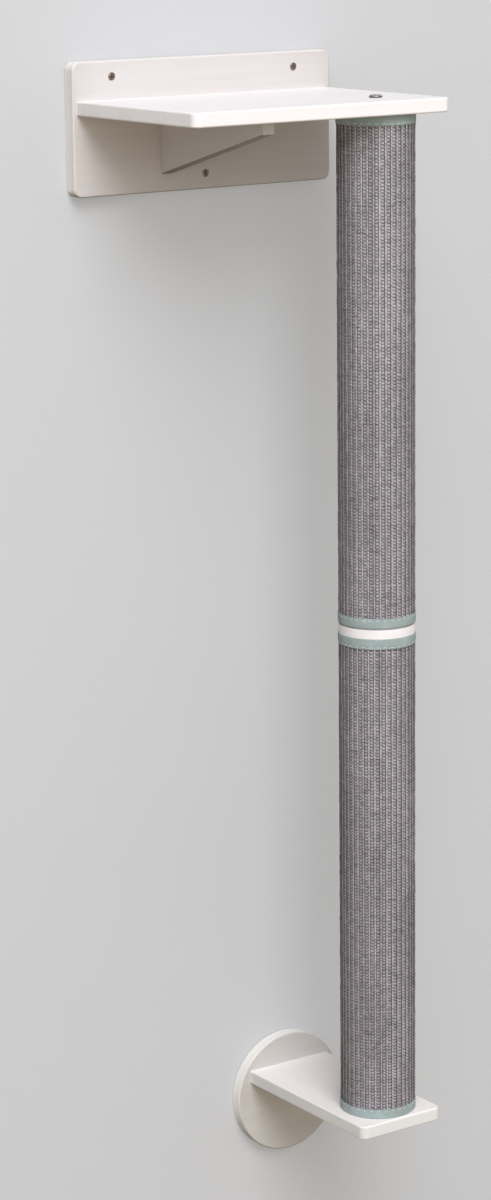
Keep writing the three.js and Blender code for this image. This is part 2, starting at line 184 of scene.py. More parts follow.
def stageMaterial(name, colour, bounce, glow=None, glowShare=0.0, look=studio):
    # Seen and felt only from its front, pale to the camera and with its own bounce colour.
    # The wall's glow is seen by the camera and in gloss alone, and keeps its shadows pale.
    # Short rays pass through the wall, so that the backs of the wall boards get light when
    # they are looked at from behind.
    material, tree, shader = newMaterial(name, Roughness=0.9)
    place = objectPlaceOf(tree)
    mottle = noiseAt(tree, place, look["mottleScale"], 4.0)
    pimples = noiseAt(tree, place, look["pimpleScale"], 2.0)
    tone = ease(tree, mottle, 0.2, 0.8, *look["mottle"])
    light = addNode(tree, "LightPath")
    seen = calc(tree, "MAXIMUM", light.outputs["Is Camera Ray"], light.outputs["Is Glossy Ray"])
    seenColour = blendColour(tree, seen, bounce, colour)
    finishShader(tree, shader, Base_Color=blendColour(tree, 1.0, seenColour, tone, "MULTIPLY"),
                 Normal=bumpFrom(tree, pimples, look["pimpleDepth"], 0.4))
    solid = calc(tree, "SUBTRACT", 1.0, addNode(tree, "NewGeometry").outputs["Backfacing"])
    painted = shader.outputs[0]
    if glow:
        far = calc(tree, "GREATER_THAN", light.outputs["Ray Length"], look["nearRay"])
        solid = calc(tree, "MULTIPLY", solid,
                     calc(tree, "MAXIMUM", light.outputs["Is Camera Ray"], far))
        share = calc(tree, "MULTIPLY", seen, glowShare)
        even = addNode(tree, "Emission", {"Color": glow}).outputs[0]
        painted = addNode(tree, "MixShader", {0: share, 1: painted, 2: even}).outputs[0]
    clear = addNode(tree, "BsdfTransparent")
    both = addNode(tree, "MixShader", {0: solid, 1: clear.outputs[0], 2: painted})
    output = next(n for n in tree.nodes if n.type == "OUTPUT_MATERIAL")
    plug(tree, output.inputs["Surface"], both.outputs[0])
    return material


def stagePlane(name, corners, material):
    mesh = bpy.data.meshes.new(name)
    mesh.from_pydata(corners, [], [(0, 1, 2, 3)])
    mesh.materials.append(material)
    plane = bpy.data.objects.new(name, mesh)
    bpy.context.scene.collection.objects.link(plane)


def makeStudio(look):
    far, wallY, floorZ = look["reach"], look["wallY"], look["floorZ"]
    wall = [(-far, wallY, floorZ), (far, wallY, floorZ), (far, wallY, far), (-far, wallY, far)]
    floor = [(-far, -far, floorZ), (far, -far, floorZ), (far, wallY, floorZ), (-far, wallY, floorZ)]
    wallPaint = stageMaterial("wallPaint", look["wallColour"], look["wallBounce"],
                              look["wallGlow"], look["glowShare"])
    floorPaint = stageMaterial("floorPaint", look["floorColour"], look["floorBounce"])
    stagePlane("wallBehind", wall, wallPaint)
    stagePlane("floorBelow", floor, floorPaint)

    for name in ("key", "fill"):
        data = bpy.data.lights.new(name + "Lamp", "AREA")
        data.shape = "DISK"
        data.size = look[name]["size"]
        data.energy = look[name]["power"]
        data.color = look[name]["colour"]
        lamp = bpy.data.objects.new(name + "Lamp", data)
        lamp.location = look[name]["place"]
        aim = Vector(look["aim"]) - lamp.location
        lamp.rotation_euler = aim.to_track_quat("-Z", "Y").to_euler()
        bpy.context.scene.collection.objects.link(lamp)

    world = bpy.data.worlds.new("studioAir")
    world.use_nodes = True
    tree = world.node_tree
    tree.nodes.clear()
    light = addNode(tree, "LightPath")
    seen = calc(tree, "MAXIMUM", light.outputs["Is Camera Ray"], light.outputs["Is Glossy Ray"])
    colour = blendColour(tree, seen, look["airColour"], look["backColour"])
    sky = addNode(tree, "Background", {"Color": colour})
    addNode(tree, "OutputWorld", {"Surface": sky.outputs[0]})
    bpy.context.scene.world = world
    bpy.context.scene.view_settings.view_transform = "Standard"


makeStudio(studio)
print("studio made")


# meshes from arrays
def gridFaces(rows, columns, loop=False):
    # the four corners of each cell: the grid is closed round its columns, and with loop
    # also along its rows, so that it is a ring with a hole
    i, j = np.meshgrid(np.arange(rows if loop else rows - 1), np.arange(columns), indexing="ij")
    nextI, nextJ = (i + 1) % rows, (j + 1) % columns
    corners = (i * columns + j, i * columns + nextJ, nextI * columns + nextJ, nextI * columns + j)
    return np.stack(corners, -1).reshape(-1, 4)


def gridMap(rows, columns, loop=False):
    # the same cells on a flat map from 0 to 1, where the last column ends at 1
    i, j = np.meshgrid(np.arange(rows if loop else rows - 1), np.arange(columns), indexing="ij")
    across = np.stack([j, j + 1, j + 1, j], -1) / columns
    along = np.stack([i, i, i + 1, i + 1], -1) / (rows - 1)
    return np.stack([across, np.minimum(along, 1)], -1).reshape(-1, 2)


def makePiece(name, points, faceSets, material, nodes=(), uv=None, values=None,
              crease=38, even=False):
    # faceSets are arrays of corner numbers, one array for each number of corners
    mesh = bpy.data.meshes.new(name)
    sizes = np.concatenate([np.full(len(faces), faces.shape[1]) for faces in faceSets])
    corners = np.concatenate([faces.ravel() for faces in faceSets])
    mesh.vertices.add(len(points))
    mesh.vertices.foreach_set("co", np.asarray(points, np.float32).ravel())
    mesh.loops.add(len(corners))
    mesh.loops.foreach_set("vertex_index", corners.astype(np.int32))
    mesh.polygons.add(len(sizes))
    starts = np.concatenate([[0], np.cumsum(sizes)[:-1]])
    mesh.polygons.foreach_set("loop_start", starts.astype(np.int32))
    mesh.update(calc_edges=True)
    if uv is not None:
        mesh.uv_layers.new(name="pattern").uv.foreach_set("vector", uv.astype(np.float32).ravel())
    for key, value in (values or {}).items():
        layer = mesh.attributes.new(key, "FLOAT", "POINT")
        layer.data.foreach_set("value", np.asarray(value, np.float32).ravel())

    # poles are welded to one point each, and all faces are turned outwards
    work = bmesh.new()
    work.from_mesh(mesh)
    bmesh.ops.remove_doubles(work, verts=work.verts, dist=1e-7)
    bmesh.ops.recalc_face_normals(work, faces=work.faces)
    work.to_mesh(mesh)
    work.free()
    mesh.polygons.foreach_set("use_smooth", np.ones(len(mesh.polygons), bool))
    mesh.set_sharp_from_angle(angle=math.radians(crease))
    mesh.materials.append(material)
    piece = bpy.data.objects.new(name, mesh)
    bpy.context.scene.collection.objects.link(piece)
    if even:
        normals = piece.modifiers.new("evenNormals", "WEIGHTED_NORMAL")
        normals.keep_sharp = True
    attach(piece, "root")
    if nodes:
        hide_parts(*nodes)
    return piece


# painted boards
def boxOf(node):
    low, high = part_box(node)
    return np.array(low), np.array(high)


def roundedLoop(low, high, radii, steps):
    # each corner is a quarter circle about its own centre, walked counter-clockwise
    corners = np.array([(low[0], low[1]), (high[0], low[1]), (high[0], high[1]), (low[0], high[1])])
    inward = np.array([(1, 1), (-1, 1), (-1, -1), (1, -1)])
    arcs = []
    for corner, side, radius, start in zip(corners, inward, radii, (180, 270, 0, 90)):
        angle = np.radians(start + np.linspace(0, 90, steps + 1 if radius else 1))
        arc = np.stack([np.cos(angle), np.sin(angle)], -1)
        arcs.append(corner + (side + arc) * radius)
    return np.concatenate(arcs)


def insetLoops(loop, inset):
    # every point moves in along the mitre of its two sides, so each side moves by the inset
    side = np.roll(loop, -1, 0) - loop
    out = np.stack([side[:, 1], -side[:, 0]], -1)
    out /= np.linalg.norm(out, axis=1, keepdims=True)
    before = np.roll(out, 1, 0)
    mitre = (out + before) / (1 + (out * before).sum(1, keepdims=True))
    return loop - np.asarray(inset)[:, None, None] * mitre


def edgeProfile(low, high, radius, steps, rounded):
    # inset and height of each ring from the low face to the high one: a rounded edge is a
    # quarter circle, and "worn" is 1 on the middle of a rounded edge and 0 on the flats
    angle = np.radians(np.linspace(0, 90, steps + 1))
    inset = radius * (1 - np.cos(angle))
    rise = radius * (1 - np.sin(angle))
    worn = np.sin(2 * angle)
    lowPart = (inset[::-1], low + rise[::-1], worn[::-1])
    highPart = (inset, high - rise, worn)
    flat = (np.zeros(1), np.zeros(1), np.zeros(1))
    if not rounded[0]:
        lowPart = (flat[0], flat[1] + low, flat[2])
    if not rounded[1]:
        highPart = (flat[0], flat[1] + high, flat[2])
    return tuple(np.concatenate(pair) for pair in zip(lowPart, highPart))


def fillCap(points, loops):
    # a flat face inside the first loop and outside the others
    lines = [list(map(Vector, points[loop].tolist())) for loop in loops]
    return np.concatenate(loops)[np.array(tessellate_polygon(lines))]


def boardSurface(loop, profile, bores, sides=48):
    # the outline carried up the edge profile, a turned wall for each bore, and two flat caps
    inset, height, worn = profile
    rings = insetLoops(loop, inset)
    rows, columns = rings.shape[:2]
    tall = np.broadcast_to(height[:, None, None], (rows, columns, 1))
    points = [np.concatenate([rings, tall], -1).reshape(-1, 3)]
    wear = [np.repeat(worn, columns)]
    quads = [gridFaces(rows, columns)]
    lowLoops = [np.arange(columns)]
    highLoops = [np.arange(columns) + (rows - 1) * columns]
    start = rows * columns
    angle = np.linspace(0, 2 * np.pi, sides, endpoint=False)
    circle = np.stack([np.cos(angle), np.sin(angle)], -1)
    for centre, radii, heights in bores:
        wall = np.asarray(centre) + np.asarray(radii)[:, None, None] * circle
        tall = np.broadcast_to(np.asarray(heights)[:, None, None], (len(radii), sides, 1))
        points.append(np.concatenate([wall, tall], -1).reshape(-1, 3))
        wear.append(np.zeros(len(radii) * sides))
        quads.append(start + gridFaces(len(radii), sides))
        lowLoops.append(start + np.arange(sides))
        highLoops.append(start + np.arange(sides) + (len(radii) - 1) * sides)
        start += len(radii) * sides
    points = np.concatenate(points)
    caps = np.concatenate([fillCap(points, lowLoops), fillCap(points, highLoops)])
    return points, [np.concatenate(quads), caps], np.concatenate(wear)


# how the board's own across, along and height run in the room
layings = {
    "wall": lambda p: np.stack([p[:, 0], -p[:, 2], p[:, 1]], -1),
    "flat": lambda p: p,
    "side": lambda p: np.stack([p[:, 2], p[:, 0], p[:, 1]], -1),
}


def grainPlace(tree, place, grain, fine):
    # long in the direction of the grain and fine across it
    scale = {"x": (1, fine, fine), "y": (fine, 1, fine), "z": (fine, fine, 1)}[grain]
    return stretch(tree, place, scale)


def grainLayer(tree, place, grain, layer):
    fine, *settings = layer
    return noiseAt(tree, grainPlace(tree, place, grain, fine), *settings)


# Each layer of the grain says how much finer it is across the grain than along it, and the
# scale, detail and roughness of its noise.
paint = {
    "light": (0.94, 0.91, 0.93, 1),
    "shade": (0.90, 0.865, 0.875, 1),
    "worn": (0.84, 0.795, 0.78, 1),
    "roughness": (0.36, 0.5),
    "streaks": (26.0, 5.0, 5.0, 0.62),
    "figure": (6.0, 4.0, 3.0, 0.55),
    "pores": (22.0, 42.0, 3.0, 0.6),
    "brush": (14.0, 90.0, 2.0, 0.55),
    "rubScale": 55.0,
    "rubMost": 0.55,
    "poreShade": 0.35,
    "streakDepth": 0.12 * mm,
    "poreDepth": 0.10 * mm,
    "brushDepth": 0.03 * mm,
    "faceAxis": 1,
    "underSpan": (-0.35, -0.6),
}


def boardPaint(name, grain, shift, look=paint):
    # satin paint that lets the grain of the wood through as faint streaks and pores
    material, tree, shader = newMaterial(name, Specular_IOR_Level=0.42)
    place = stretch(tree, objectPlaceOf(tree), (1, 1, 1), shift=shift)
    streaks, figure, pores, brush = (grainLayer(tree, place, grain, look[key])
                                     for key in ("streaks", "figure", "pores", "brush"))
    veins = calc(tree, "MULTIPLY_ADD", figure, 0.6, calc(tree, "MULTIPLY", streaks, 0.7))
    dark = ease(tree, veins, 0.48, 0.86)
    pits = ease(tree, pores, 0.62, 0.74)
    worn = addNode(tree, "Attribute", attribute_name="worn").outputs["Fac"]
    patches = noiseAt(tree, place, look["rubScale"], 4.0)
    rubbed = calc(tree, "MULTIPLY", worn, ease(tree, patches, 0.45, 0.75, 0.0, look["rubMost"]))
    colour = blendColour(tree, dark, look["light"], look["shade"])
    colour = blendColour(tree, calc(tree, "MULTIPLY", pits, look["poreShade"]), colour, look["worn"])
    colour = blendColour(tree, rubbed, colour, look["worn"])
    normal = addNode(tree, "SeparateXYZ", {0: addNode(tree, "NewGeometry").outputs["True Normal"]})
    # painted light and shade by facing: the narrow sides take the "edge" colour, lighter than a wall
    # board's shaded face and darker than the arm's top
    if "edge" in look:
        facing = calc(tree, "ABSOLUTE", normal.outputs[look["faceAxis"]])
        colour = blendColour(tree, ease(tree, facing, 0.85, 0.5), colour, look["edge"])
    # painted shade: faces that turn down take the darker "under" colour
    if "under" in look:
        shadeBelow = ease(tree, normal.outputs[2], *look["underSpan"])
        colour = blendColour(tree, shadeBelow, colour, look["under"])
    low, high = look["roughness"]
    grooves = bumpFrom(tree, veins, look["streakDepth"], 0.5)
    holes = bumpFrom(tree, calc(tree, "SUBTRACT", 1.0, pits), look["poreDepth"], 0.6, grooves)
    strokes = bumpFrom(tree, brush, look["brushDepth"], 0.6, holes)
    finishShader(tree, shader, Base_Color=colour, Normal=strokes,
                 Roughness=ease(tree, streaks, 0.3, 0.7, low, high))
    return material


# The wall boards' faces are a darker white than the shelf and the arm: this is painted shade,
# a shaded copy of the same white paint that stands in for the lesser light they get. "edge"
# is the colour of a board's narrow sides, which face away from "faceAxis", the axis of its
# broad faces (1 is y, 2 is z): painted light on the wall boards, whose sides and rounded edges
# come out lighter than their shaded faces, and painted shade on the arm, whose sides come out
# darker and cooler than its warmer top. "under" is the colour of what faces down, reached over
# "underSpan" of the upward part of the normal: painted shade where little light comes from
# below.
shadedWallBoardPaint = dict(paint, light=(0.645, 0.615, 0.607, 1), shade=(0.605, 0.572, 0.56, 1),
                      worn=(0.59, 0.55, 0.535, 1))
# the "under" colours of the plate, the bracket and the disc are painted shade on their downward faces,
# darkest on the bracket's sloping underside
platePaint = dict(shadedWallBoardPaint, edge=(0.84, 0.80, 0.78, 1), under=(0.30, 0.27, 0.23, 1),
                  underSpan=(-0.2, -0.8))
bracketPaint = dict(shadedWallBoardPaint, under=(0.17, 0.145, 0.115, 1))
discPaint = dict(shadedWallBoardPaint, light=(0.635, 0.617, 0.602, 1), shade=(0.593, 0.573, 0.555, 1),
                 edge=(0.86, 0.84, 0.81, 1), under=(0.30, 0.28, 0.235, 1),
                 underSpan=(-0.1, -0.8))
# the arm's top is painted warmer and its narrow sides a darker, cooler "edge": painted shade on the
# sides
armPaint = dict(paint, light=(0.95, 0.905, 0.89, 1), shade=(0.91, 0.865, 0.845, 1),
                edge=(0.83, 0.83, 0.84, 1), faceAxis=2)
boardRound = {"radius": 2.0 * mm, "steps": 7, "cornerSteps": 18, "discSides": 200}
boardCorner = {"plate": 9 * mm, "shelf": 9 * mm, "arm": 8 * mm}
grainShift = {  # takes each board from its own part of the grain
    "wall": (0.31, 0, 0.12),
    "shelf": (0.7, 0.4, 0.2),
    "arm": (0.2, 0.9, 0.5),
    "bracket": (0.1, 0.3, 0.8),
    "ring": (0.5, 0.6, 0.1),
}
bracketLook = {"frontHeight": 14 * mm, "radius": 1.2 * mm}
bore = {
    "bolt": 4.3 * mm,
    "wallScrew": 2.55 * mm,
    "jointScrew": 2.3 * mm,
    "head": 4.3 * mm,
    "straight": 0.8 * mm,
    "lip": 0.2 * mm,
}


def screwBores(nodes, wide, thickness, fromFront, sizes=bore):
    # a countersunk bore for each screw node: a cone from its head to its shank
    bores = []
    for node in nodes:
        low, high = boxOf(node)
        centre = ((low[0] + high[0]) / 2, (low[2] + high[2]) / 2)
        head, lip, straight = sizes["head"], sizes["lip"], sizes["straight"]
        radii = np.array([wide, wide, head, head, head + lip])
        depth = np.array([thickness, straight + head - wide, straight, lip, 0])
        if fromFront:
            bores.append((centre, radii, thickness - depth))
        else:
            bores.append((centre, radii[::-1], depth[::-1]))
    return bores


def makeWallBoard(name, node, loop, wallScrews, jointScrews, coat, look=boardRound):
    # square against the wall and rounded at the front, with bores from both its faces
    low, high = boxOf(node)
    thick = high[1] - low[1]
    bores = screwBores(wallScrews, bore["wallScrew"], thick, True)
    bores += screwBores(jointScrews, bore["jointScrew"], thick, False)
    profile = edgeProfile(0, thick, look["radius"], look["steps"], (False, True))
    points, faces, worn = boardSurface(loop, profile, bores)
    finish = boardPaint(name + "Paint", "x", grainShift["wall"], coat)
    makePiece(name, layings["wall"](points), faces, finish, [node],
              values={"worn": worn}, even=True)


plateBox = boxOf("wall_plate")
plateLoop = roundedLoop(plateBox[0][[0, 2]], plateBox[1][[0, 2]], [boardCorner["plate"]] * 4,
                        boardRound["cornerSteps"])
makeWallBoard("wallPlate", "wall_plate", plateLoop,
              ["plate_wall_screw_left", "plate_wall_screw_right", "plate_wall_screw_low"],
              ["shelf_screw_left", "shelf_screw_middle", "shelf_screw_right", "bracket_screw_back"],
              platePaint)

discBox = boxOf("wall_disc")
discTurn = np.linspace(0, 2 * np.pi, boardRound["discSides"], endpoint=False)
discMiddle = ((discBox[0] + discBox[1]) / 2)[[0, 2]]
discRadius = (discBox[1][0] - discBox[0][0]) / 2
discLoop = discMiddle + discRadius * np.stack([np.cos(discTurn), np.sin(discTurn)], -1)
makeWallBoard("wallDisc", "wall_disc", discLoop,
              ["disc_wall_screw_left", "disc_wall_screw_right"],
              ["arm_screw_left", "arm_screw_right"], discPaint)


def makeFlatBoard(name, node, cornerRadius, grain, shift, finish=paint, look=boardRound):
    # the back edge is square against the wall board: its rounding is pressed flat there
    low, high = boxOf(node)
    back = high[1]
    radius = look["radius"]
    loop = roundedLoop(low[:2], (high[0], back + radius), (cornerRadius, cornerRadius, 0, 0),
                       look["cornerSteps"])
    bolt = ((boxOf("post_stud")[0] + boxOf("post_stud")[1]) / 2)[:2]
    bores = [(bolt, np.full(2, bore["bolt"]), np.array([low[2], high[2]]))]
    profile = edgeProfile(low[2], high[2], radius, look["steps"], (True, True))
    points, faces, worn = boardSurface(loop, profile, bores)
    points[:, 1] = np.minimum(points[:, 1], back)
    coat = boardPaint(name + "Paint", grain, shift, finish)
    makePiece(name, layings["flat"](points), faces, coat, [node],
              values={"worn": worn}, even=True)


makeFlatBoard("shelfBoard", "shelf", boardCorner["shelf"], "x", grainShift["shelf"])
makeFlatBoard("armBoard", "arm", boardCorner["arm"], "y", grainShift["arm"], armPaint)


def makeBracket(name, node, look=bracketLook):
    # a wedge: straight along the shelf and the wall plate, sloping between their ends
    low, high = boxOf(node)
    loop = np.array([
        (high[1], low[2]),
        (high[1], high[2]),
        (low[1], high[2]),
        (low[1], high[2] - look["frontHeight"]),
    ])
    profile = edgeProfile(low[0], high[0], look["radius"], boardRound["steps"], (True, True))
    points, faces, worn = boardSurface(loop, profile, [])
    finish = boardPaint(name + "Paint", "y", grainShift["bracket"], bracketPaint)
    makePiece(name, layings["side"](points), faces, finish, [node],
              values={"worn": worn}, even=True)


makeBracket("shelfBracket", "shelf_bracket")
print("painted boards made")


# scratching post
postLow, postHigh = boxOf("upper_woven_sleeve")
postX, postY = ((postLow + postHigh) / 2)[:2]
sleeveRadius = (postHigh[0] - postLow[0]) / 2


def turned(radii, heights, angle):
    # radii and heights on a grid of rows by columns, turned about the post's own axis
    x = postX + radii * np.cos(angle)
    y = postY + radii * np.sin(angle)
    return np.stack(np.broadcast_arrays(x, y, heights), -1).reshape(-1, 3)


# Shares are of the distance from one cord to the next, and counted from a cord's middle.
weave = {
    "cords": 40,
    "thickness": 1.7 * mm,
    "rowPitch": 3.5 * mm,
    "crest": 0.25 * mm,
    "dip": -1.0 * mm,
    "coreSample": 0.05,  # one more line of points on the crest, and one on the ladder
    "ladderSample": 0.36,
    "crestHalf": 0.15,
    "flankEnd": 0.27,
    "uneven": 0.14 * mm,
    "unevenLadder": 0.3,  # how much of the unevenness the ladder has
    "rowBlend": 0.6,  # how much a row is like the one before it
    "toneSpread": 0.07,
    "bump": 0.45 * mm,
    "blur": 0.06,
    "lean": 1.6,  # turns of a strand across its cord
    "rungShift": 0.45,
    "strandTone": (0.48, 0.36),  # how far a strand's tone swings, and its lowest
    "rungTone": (0.50, 0.12),
    "lowestTone": 0.12,
    # noises: how much they are squeezed in height, then scale, detail and roughness
    "waver": (0.4, 110.0, 2.0, 0.55),
    "fibre": (0.3, 1500.0, 3.0, 0.7),
    "cloud": (0.25, 26.0, 3.0, 0.55),
    "slub": (9.0, 60.0, 2.0, 0.55),
    "patch": (300.0, 3.0, 0.6),
    "waverRows": 1.1,
    "dark": (0.075, 0.069, 0.074, 1),
    "middle": (0.280, 0.266, 0.290, 1),
    "light": (0.63, 0.606, 0.655, 1),
    "blush": (0.40, 0.29, 0.315, 1),
    "roughness": 0.92,
}


def squeezedNoise(tree, place, layer):
    squeeze, *settings = layer
    return noiseAt(tree, stretch(tree, place, (1, 1, squeeze)), *settings)


def weaveMaterial(name, rows, look=weave):
    # Narrow upright cords of slanted strands stand over a wider ladder of cross threads. The
    # cords' sides are painted dark: painted shade for the shadowed sides of the ridges. The map
    # counts cords across and rows along, and both are uneven, as spun plant fibre is.
    material, tree, shader = newMaterial(name, Specular_IOR_Level=0.0, Roughness=look["roughness"])
    place = objectPlaceOf(tree)
    pattern = addNode(tree, "UVMap", uv_map="pattern").outputs[0]
    parts = addNode(tree, "SeparateXYZ", {0: pattern}).outputs
    across = calc(tree, "MULTIPLY", parts[0], float(look["cords"]))
    waver = calc(tree, "MULTIPLY", squeezedNoise(tree, place, look["waver"]), look["waverRows"])
    row = calc(tree, "MULTIPLY_ADD", parts[1], float(rows), waver)
    side = calc(tree, "SUBTRACT", calc(tree, "FRACT", across), 0.5)
    away = calc(tree, "ABSOLUTE", side)
    blur = look["blur"]
    cord = ease(tree, away, look["crestHalf"] + blur, look["crestHalf"] - blur)
    ladder = ease(tree, away, look["flankEnd"] - blur, look["flankEnd"] + 0.04)
    strand = ripple(tree, calc(tree, "MULTIPLY_ADD", side, look["lean"], row))
    rung = ripple(tree, calc(tree, "ADD", row, look["rungShift"]))
    fibre = squeezedNoise(tree, place, look["fibre"])
    patch = noiseAt(tree, place, *look["patch"])
    cloudy = squeezedNoise(tree, place, look["cloud"])
    slub = squeezedNoise(tree, place, look["slub"])
    tone = addNode(tree, "Attribute", attribute_name="tone").outputs["Fac"]

    # on the cords' sides, where neither crest nor ladder reaches, the level stays at the lowest tone:
    # painted shade
    onCord = calc(tree, "MULTIPLY", cord, calc(tree, "MULTIPLY_ADD", strand, *look["strandTone"]))
    between = calc(tree, "MULTIPLY", ladder, calc(tree, "MULTIPLY_ADD", rung, *look["rungTone"]))
    level = calc(tree, "ADD", calc(tree, "ADD", onCord, between), look["lowestTone"])
    height = calc(tree, "MULTIPLY_ADD", fibre, 0.35, level)
    level = calc(tree, "MULTIPLY", level, ease(tree, fibre, 0.3, 0.7, 0.86, 1.14))
    level = calc(tree, "MULTIPLY", level, ease(tree, patch, 0.36, 0.60, 0.78, 1.13))
    level = calc(tree, "MULTIPLY", level, ease(tree, slub, 0.56, 0.68, 1.05, 0.70))
    level = calc(tree, "MULTIPLY", level, ease(tree, cloudy, 0.3, 0.7, 0.88, 1.12))
    level = calc(tree, "MULTIPLY", level, tone)
    colour = blendColour(tree, ease(tree, level, 0.02, 0.5), look["dark"], look["middle"])
    colour = blendColour(tree, ease(tree, level, 0.42, 1.15), colour, look["light"])
    blush = ease(tree, noiseAt(tree, place, 150.0, 2.0), 0.60, 0.74, 0.0, 0.45)
    colour = blendColour(tree, blush, colour, look["blush"])
    finishShader(tree, shader, Base_Color=colour, Normal=bumpFrom(tree, height, look["bump"], 0.9))
    return material


def makeSleeve(name, node, seed, look=weave):
    # Across each cord the height is flat on the crest, drops along a smooth step to the
    # ladder between the cords and stays there. Along a cord it wanders a little from row to
    # row. The inner wall closes the shell.
    low, high = boxOf(node)
    rng = np.random.default_rng(seed)
    length = high[2] - low[2]
    rows = round(length / look["rowPitch"])
    count = rows + 1
    crestHalf, flankEnd = look["crestHalf"], look["flankEnd"]
    middle = (crestHalf + flankEnd) / 2
    half = np.array([look["coreSample"], crestHalf, middle, flankEnd, look["ladderSample"]])
    side = np.concatenate([[-0.5], -half[::-1], half])
    samples = len(side)
    columns = look["cords"] * samples
    turn = (np.arange(look["cords"])[:, None] + 0.5 + side[None, :]).reshape(-1) / look["cords"]
    angle = 2 * np.pi * turn
    drop = np.clip((flankEnd - np.abs(side)) / (flankEnd - crestHalf), 0, 1)
    ridge = np.tile(drop * drop * (3 - 2 * drop), look["cords"])
    loose = rng.normal(size=(count, look["cords"]))
    loose = (loose + look["rowBlend"] * np.roll(loose, 1, 0)) / 1.2  # about as wide a spread
    loose = np.repeat(loose, samples, axis=1)
    relief = look["dip"] + (look["crest"] - look["dip"]) * ridge[None, :]
    onLadder = look["unevenLadder"]
    relief = relief + look["uneven"] * loose * (onLadder + (1 - onLadder) * ridge[None, :])
    relief[0] = relief[-1] = look["dip"]
    heights = np.linspace(low[2], high[2], count)
    spread = look["toneSpread"]
    tone = 1 + spread * rng.normal(size=look["cords"])[None, :] + spread * loose[:, ::samples]
    tone = np.repeat(tone, samples, axis=1)

    outer = sleeveRadius + relief
    inner = np.full((2, columns), sleeveRadius - look["thickness"])
    radii = np.concatenate([outer, inner])
    tall = np.concatenate([heights, heights[[-1, 0]]])[:, None]
    points = turned(radii, tall, angle[None, :])
    values = np.concatenate([tone, np.ones((2, columns))])
    uv = gridMap(count + 2, columns, loop=True)
    turnEnds = np.append(turn, turn[0] + 1)
    uv[:, 0] = turnEnds[np.rint(uv[:, 0] * columns).astype(int)]
    uv[:, 1] = np.minimum(uv[:, 1] * (count + 1) / (count - 1), 1)
    makePiece(name, points, [gridFaces(count + 2, columns, loop=True)],
              weaveMaterial(name + "Fibre", rows), [node], uv=uv,
              values={"tone": values}, crease=120)


makeSleeve("upperWovenSleeve", "upper_woven_sleeve", 11)
makeSleeve("lowerWovenSleeve", "lower_woven_sleeve", 23)
print("woven sleeves made")

tape = {
    "thickness": 0.6 * mm,
    "rollUnder": 1.1 * mm,
    "rollOver": 0.45 * mm,
    "bulge": 0.12 * mm,
    "rows": 25,
    "columnsEach": 10,
    "stitches": 33,
    "stitchFromEdge": 2.1 * mm,
    "stitchShare": 0.58,
    "stitchRings": 11,
    "stitchSides": 8,
    "threadRadius": 0.42 * mm,
    "threadLift": 0.22 * mm,
    "groove": 0.3 * mm,
    "grooveWidth": 0.7 * mm,
    "pucker": 0.1 * mm,
    "waver": 0.05 * mm,
    "waves": 5,
    "wavesFrom": 1.3,
    "warpThreads": 430.0,
    "weftThreads": 46.0,
    "colour": (0.43, 0.52, 0.525, 1),
    "deep": (0.295, 0.375, 0.38, 1),
    "faded": (0.53, 0.61, 0.61, 1),
    "thread": (0.78, 0.81, 0.79, 1),
    "threadShade": (0.45, 0.465, 0.45, 1),
}


def tapeMaterial(name, look=tape):
    # a close plain weave: threads go over and under in a chequer, fainter where it is rubbed
    material, tree, shader = newMaterial(name, Specular_IOR_Level=0.1, Roughness=0.85)
    place = objectPlaceOf(tree)
    pattern = addNode(tree, "UVMap", uv_map="pattern").outputs[0]
    parts = addNode(tree, "SeparateXYZ", {0: pattern}).outputs
    warp = ripple(tree, calc(tree, "MULTIPLY", parts[0], look["warpThreads"]))
    weft = ripple(tree, calc(tree, "MULTIPLY", parts[1], look["weftThreads"]))
    chequer = calc(tree, "ABSOLUTE", calc(tree, "SUBTRACT", warp, weft))
    fuzz = noiseAt(tree, place, 900.0, 3.0, 0.7)
    soft = noiseAt(tree, place, 70.0, 3.0)
    shade = calc(tree, "MULTIPLY_ADD", chequer, 0.5, calc(tree, "MULTIPLY", fuzz, 0.6))
    colour = blendColour(tree, ease(tree, shade, 0.2, 0.9), look["deep"], look["colour"])
    colour = blendColour(tree, ease(tree, soft, 0.45, 0.8, 0.0, 0.5), colour, look["faded"])
    finishShader(tree, shader, Base_Color=colour, Normal=bumpFrom(tree, shade, 0.12 * mm, 0.8))
    return material


def threadMaterial(name, look=tape):
    # two plies twisted round each other
    material, tree, shader = newMaterial(name, Specular_IOR_Level=0.3, Roughness=0.7)
    place = objectPlaceOf(tree)
    leaning = stretch(tree, place, (700, 700, 1100), (0, 0, 0.6))
    ply = ripple(tree, addNode(tree, "SeparateXYZ", {0: leaning}).outputs[2])
    fuzz = noiseAt(tree, place, 1800.0, 2.0)
    shade = calc(tree, "MULTIPLY_ADD", ply, 0.6, calc(tree, "MULTIPLY", fuzz, 0.4))
    colour = blendColour(tree, shade, look["threadShade"], look["thread"])
    finishShader(tree, shader, Base_Color=colour, Normal=bumpFrom(tree, ply, 0.1 * mm, 0.7))
    return material


